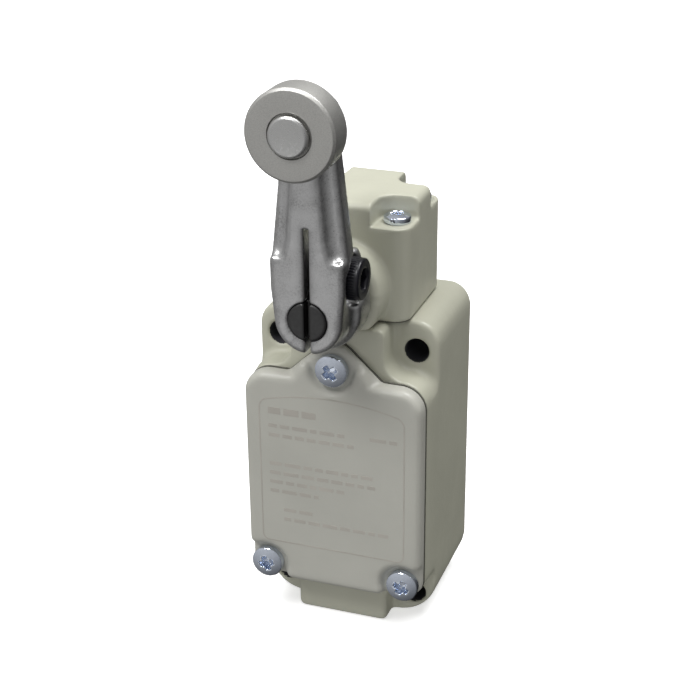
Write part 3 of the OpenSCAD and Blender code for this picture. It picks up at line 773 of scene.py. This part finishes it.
# The roller and its riveted pin, turned about the depth axis: (radius, depth) round each profile
front, back = -ROLLER_LOW[1], -ROLLER_HIGH[1]
rim = (ROLLER_HIGH[0] - ROLLER_LOW[0]) / 2
add_turned("roller", [
    (2.54, back), (rim - 0.5, back), (rim, back + 0.5), (rim, front - 0.5), (rim - 0.5, front),
    (4.35, front), (4.25, front - 0.5), (2.54, front - 0.5),
], 0.12)
low, high = box_mm("roller_pin")
end, tail = -low[1], -high[1]
add_turned("roller_pin", [
    (0, tail), (3.2, tail), (3.45, tail + 0.3), (3.45, tail + 0.8), (2.5, tail + 0.8),
    (2.5, end - 1.05), (3.95, end - 1.05), (3.95, end - 0.42), (3.5, end - 0.06), (0, end),
], 0.2)

for node, piece in NODES.items():
    piece.data.materials.clear()
    piece.data.materials.append(SEAM if node.endswith("_gasket") else MATERIALS[SLOT_OF[node]])


# ---- Marking on the cover: a frame line and plain dashes in place of the print ----

def rounded_corner(x, z, radius, start):
    """Points of a quarter circle round (x, z), from the angle start on."""
    return [(x + radius * math.cos(math.radians(start + 15 * i)),
             z + radius * math.sin(math.radians(start + 15 * i))) for i in range(7)]


def strip(points, width):
    """A closed line of points (x, z) as a band of quads, width wide."""
    points = np.array(points)
    ahead = np.roll(points, -1, 0) - np.roll(points, 1, 0)
    length = np.hypot(ahead[:, 0], ahead[:, 1])[:, None]
    across = np.stack([-ahead[:, 1], ahead[:, 0]], 1) / length
    edges = np.concatenate([points - across * width / 2, points + across * width / 2])
    n = len(points)
    return edges.tolist(), [(i, (i + 1) % n, n + (i + 1) % n, n + i) for i in range(n)]


def add_marking():
    arch = [(x, 20.75 - 1.75 * (x / 14) ** 2) for x in np.linspace(13, -13, 19)]
    frame_line = (rounded_corner(-14.5, -13.8, 1.5, 180) + rounded_corner(14.5, -13.8, 1.5, 270)
                  + rounded_corner(13.6, 16.7, 2.4, 0)[:5] + arch
                  + rounded_corner(-13.6, 16.7, 2.4, 90)[2:])
    points, faces = strip(frame_line, 0.28)
    random = np.random.default_rng(7)
    rows = [(15.6, -14, -4, 1.5), (12.4, -14, 2, 0.8), (10.2, -14, 4, 0.8), (12.6, 8.5, 13.5, 0.8),
            (3.4, -14, 9, 0.8), (1.2, -14, 10, 0.8), (-1.0, -14, 2, 0.8), (-3.2, -14, -4, 0.8),
            (-7.6, -11, -4, 0.8), (-9.9, -11, 13, 0.8)]
    for z, start, end, height in rows:
        x = start
        while x < end:
            length = min(float(random.uniform(1.4, 3.6)), end + 1 - x)
            k = len(points)
            points += [(x, z), (x + length, z), (x + length, z + height), (x, z + height)]
            faces.append((k, k + 1, k + 2, k + 3))
            x += length + 0.7
    front = COVER_LOW[1] - 0.03
    mesh = bpy.data.meshes.new("cover_marking")
    mesh.from_pydata([(x * MM, front * MM, z * MM) for x, z in points], [], faces)
    ink = plain("ink", (0.395, 0.375, 0.335), 0.5, grain=6)
    marking = link("cover_marking", mesh, "case", ink)
    thick = marking.modifiers.new("thick", "SOLIDIFY")
    thick.thickness, thick.offset = 0.05 * MM, -1


add_marking()


# ---- Studio ----

def area_light(name, place, target, size, power, diffuse=True, glossy=True):
    data = bpy.data.lights.new(name, "AREA")
    data.shape, data.size, data.size_y = "RECTANGLE", size[0], size[1]
    data.energy = power
    light = bpy.data.objects.new(name, data)
    light.location = place
    light.visible_diffuse, light.visible_glossy = diffuse, glossy
    light.rotation_euler = (Vector(target) - Vector(place)).to_track_quat("-Z", "Y").to_euler()
    bpy.context.scene.collection.objects.link(light)


def add_floor():
    """A pale sweep that runs under the object and up behind it. Light passes through it, because
    the fill, bounce and glint stand below it."""
    floor_z = HOUSING_LOW[2] * MM
    depth, radius, rise, half, steps = 2.0, 0.6, 1.6, 2.5, 12
    line = [(-2.5, floor_z), (depth - radius, floor_z)]
    line += [
        (depth - radius + radius * math.sin(i * math.pi / 2 / steps),
         floor_z + radius * (1 - math.cos(i * math.pi / 2 / steps)))
        for i in range(1, steps + 1)
    ]
    line.append((depth, rise))
    mesh = bpy.data.meshes.new("sweep")
    points = [(x, y, z) for y, z in line for x in (-half, half)]
    faces = [(2 * i, 2 * i + 1, 2 * i + 3, 2 * i + 2) for i in range(len(line) - 1)]
    mesh.from_pydata(points, [], faces)
    mesh.polygons.foreach_set("use_smooth", [True] * len(mesh.polygons))
    m = Nodes("sweep")
    m.set(color=m.mix(m.noise(200), (0.78, 0.78, 0.78), (0.80, 0.80, 0.80)), roughness=0.9)
    m.shader.inputs["Emission Color"].default_value = (1, 1, 1, 1)
    m.shader.inputs["Emission Strength"].default_value = 0.55
    mesh.materials.append(m.material)
    sweep = bpy.data.objects.new("sweep", mesh)
    sweep.visible_diffuse = False
    sweep.visible_glossy = False
    sweep.visible_shadow = False
    bpy.context.scene.collection.objects.link(sweep)


def add_world():
    """Soft light from everywhere, brightest from above the left front."""
    world = bpy.data.worlds.new("studio")
    world.use_nodes = True
    tree = world.node_tree
    background = tree.nodes["Background"]
    direction = tree.nodes.new("ShaderNodeTexCoord")
    facing = tree.nodes.new("ShaderNodeVectorMath")
    facing.operation = "DOT_PRODUCT"
    facing.inputs[1].default_value = (-0.50, -0.45, 0.74)
    amount = tree.nodes.new("ShaderNodeMapRange")
    for key, value in (("From Min", -1), ("From Max", 1), ("To Min", 0.0), ("To Max", 0.58)):
        amount.inputs[key].default_value = value
    tree.links.new(direction.outputs["Generated"], facing.inputs[0])
    tree.links.new(facing.outputs["Value"], amount.inputs["Value"])
    tree.links.new(amount.outputs["Result"], background.inputs["Strength"])
    background.inputs["Color"].default_value = (1, 1, 1, 1)
    bpy.context.scene.world = world


def add_studio():
    middle = (0, -0.02, 0.02)
    add_world()
    area_light("key", (-0.30, -0.55, 0.92), middle, (0.4, 0.4), 7.5)
    area_light("top", (0.25, 0.12, 0.92), middle, (0.5, 0.5), 8)
    area_light("fill", (0.45, -0.12, -0.25), middle, (0.3, 0.3), 0.42, glossy=False)
    area_light("bounce", (0.0, -0.60, -0.28), middle, (0.5, 0.5), 0.55, glossy=False)
    area_light("glint", (-0.25, -0.69, -0.30), middle, (0.22, 0.22), 0.07, diffuse=False)
    add_floor()


add_studio()
bpy.context.scene.view_settings.view_transform = "Standard"
